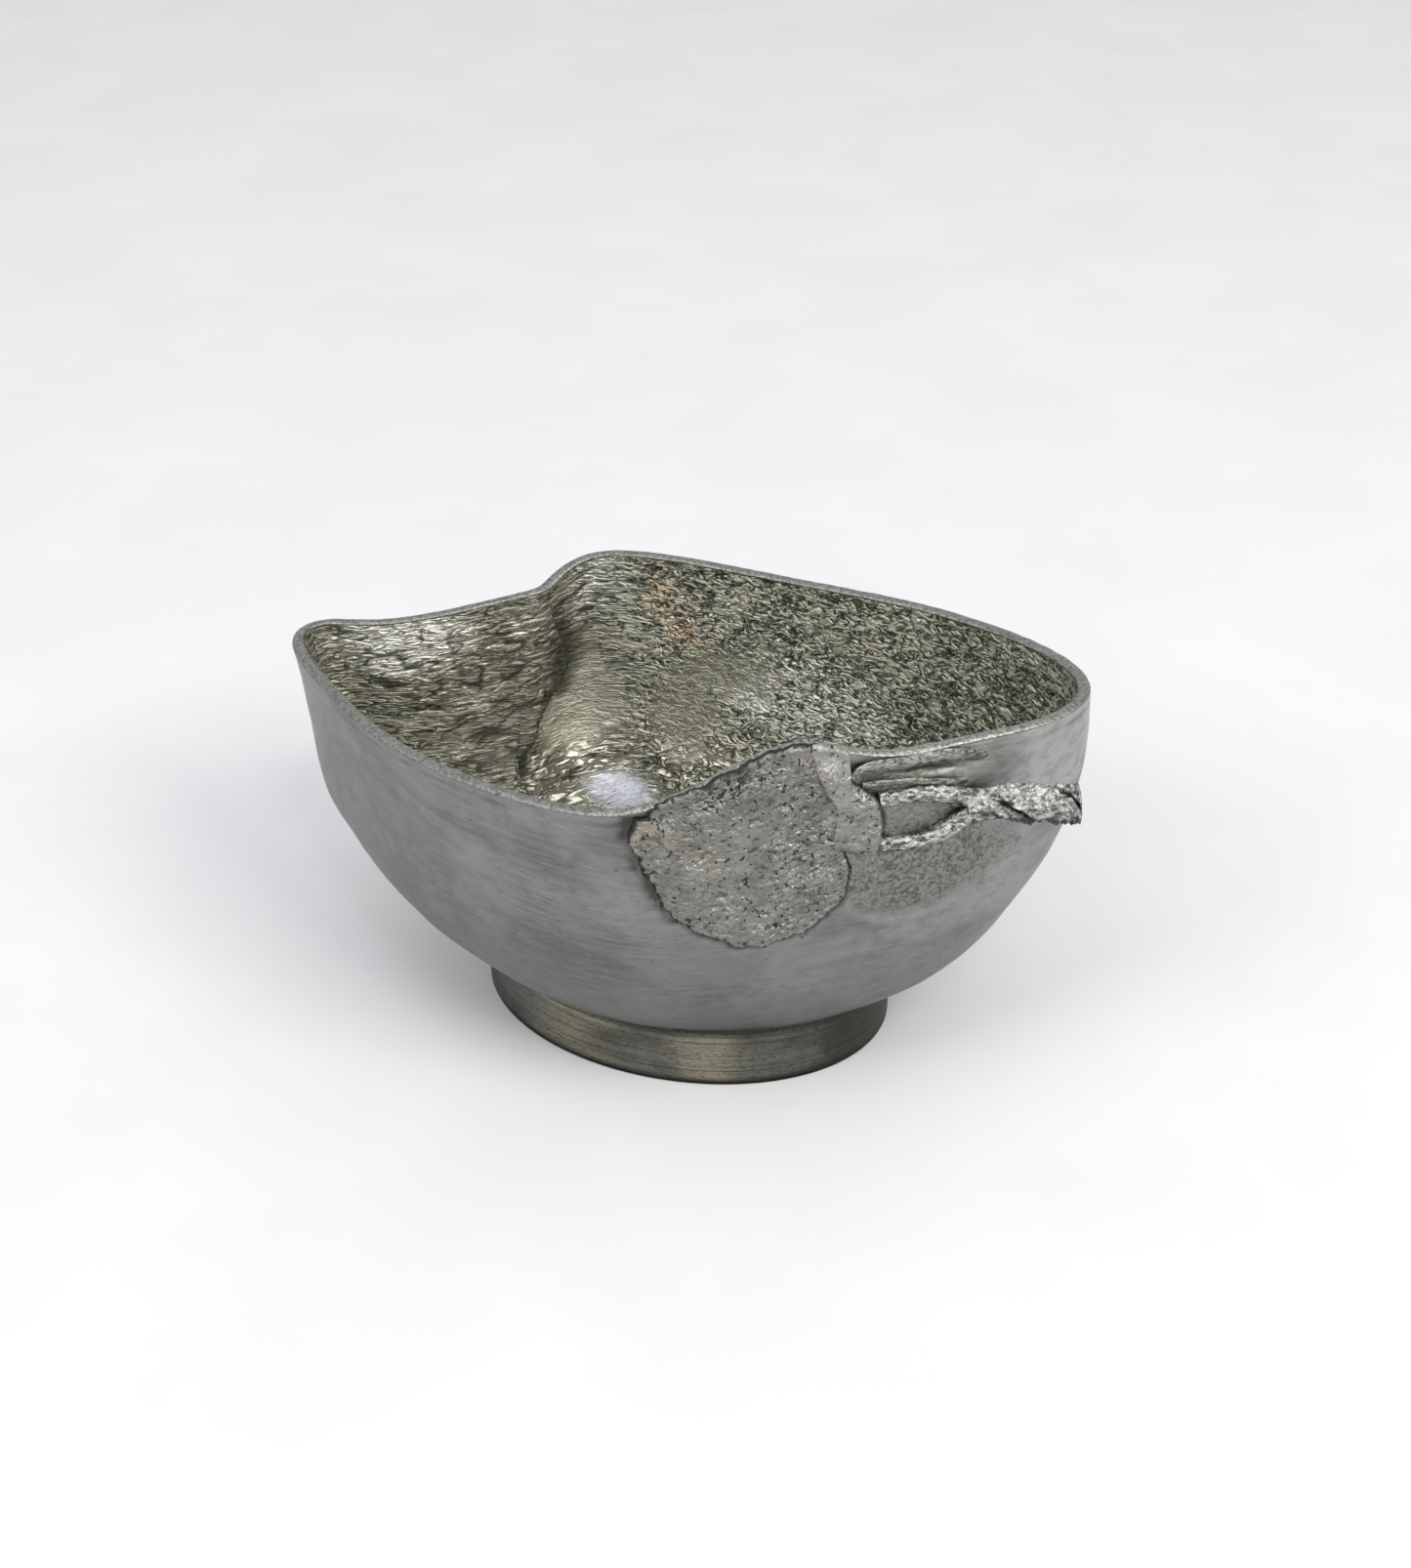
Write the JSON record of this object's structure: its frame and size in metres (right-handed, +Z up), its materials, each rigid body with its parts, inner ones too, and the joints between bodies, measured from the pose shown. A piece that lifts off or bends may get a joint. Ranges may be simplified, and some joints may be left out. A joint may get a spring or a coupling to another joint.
{
  "type": "sauce boat",
  "caption": "Footed oval sauce boat with a pinched pouring spout, an applied leaf whose stems twist into a twig handle, and a crinkled inner surface.",
  "frame": {"origin": "centre of the foot ring's resting face", "axes": "+Z up, -X towards the pouring spout, -Y towards the side that carries the leaf"},
  "size_m": [0.1494, 0.0866, 0.0764],
  "materials": {
    "satin_pewter": "satin brushed outside with soft mottling, crinkled and slightly yellowed inside",
    "foot_pewter": "turned, darker, with horizontal lines",
    "solder": "dull smoothed solder",
    "granular_pewter": "sand-cast, granular and pitted",
    "bark_pewter": "bark-like cast relief, bright on the high places"
  },
  "bodies": {
    "root": {"bowl": "satin_pewter", "foot_ring": "foot_pewter", "foot_solder_seam": "solder", "leaf": "granular_pewter", "leaf_folded_edge": "granular_pewter", "stem_upper_strand": "bark_pewter", "stem_inner_strand": "bark_pewter", "stem_middle_strand": "bark_pewter", "stem_lower_strand": "bark_pewter", "twig_handle": "bark_pewter"}
  },
  "joints": []
}
